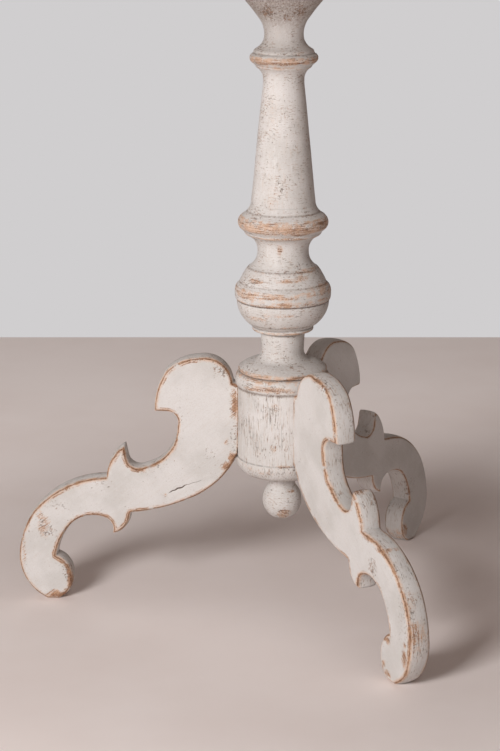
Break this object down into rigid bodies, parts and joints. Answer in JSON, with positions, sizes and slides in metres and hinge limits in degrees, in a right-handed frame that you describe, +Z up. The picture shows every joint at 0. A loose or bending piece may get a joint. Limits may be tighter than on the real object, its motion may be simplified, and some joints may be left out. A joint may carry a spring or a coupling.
{
  "type": "tilt top table",
  "caption": "Round tilt-top table on a turned pedestal with scrolled plank legs; the top tips upright on two pivot pins and a slide latch holds it flat.",
  "frame": {"origin": "on the floor under the pedestal's axis, at the centre of the object's footprint", "axes": "+Z up along the pedestal's axis; +Y towards the latch, with the back leg within 1.5 degrees of it; +X along the pivot pins; the top's show face turns to face -Y when it is tipped up"},
  "size_m": [0.8, 0.7999, 0.74],
  "materials": {
    "painted_wood": "worn chalky off-white paint, dry scraped, bare wood at the arrises",
    "bare_wood": "bare, dry",
    "iron": "dark, dull",
    "brass": "aged, dull"
  },
  "bodies": {
    "base": {"column": "painted_wood", "tenon_wedge": "bare_wood", "hub": "painted_wood", "finial": "painted_wood", "leg_back": "painted_wood", "leg_left": "painted_wood", "leg_right": "painted_wood", "pivot_block": "painted_wood", "pivot_pin_left": "iron", "pivot_pin_right": "iron", "strike_plate": "brass", "strike_screws": "brass"},
    "top": {"top_board_1": "painted_wood", "top_board_2": "painted_wood", "top_board_3": "painted_wood", "top_board_4": "painted_wood", "batten_left": "painted_wood", "batten_right": "painted_wood", "batten_screws": "iron", "latch_plate": "brass", "latch_case": "brass", "latch_spring": "iron", "latch_screws": "brass"},
    "latch": {"latch_bolt": "iron", "latch_knob": "brass"}
  },
  "joints": [
    {"name": "top_tilt", "type": "hinge", "parent": "base", "child": "top", "pos_m": [0, -0.066, 0.692], "axis": [1, 0, 0], "range_deg": [0, 90]},
    {"name": "latch_slide", "type": "slide", "parent": "top", "child": "latch", "axis": [0, -1, 0], "range_m": [0, 0.01]}
  ]
}
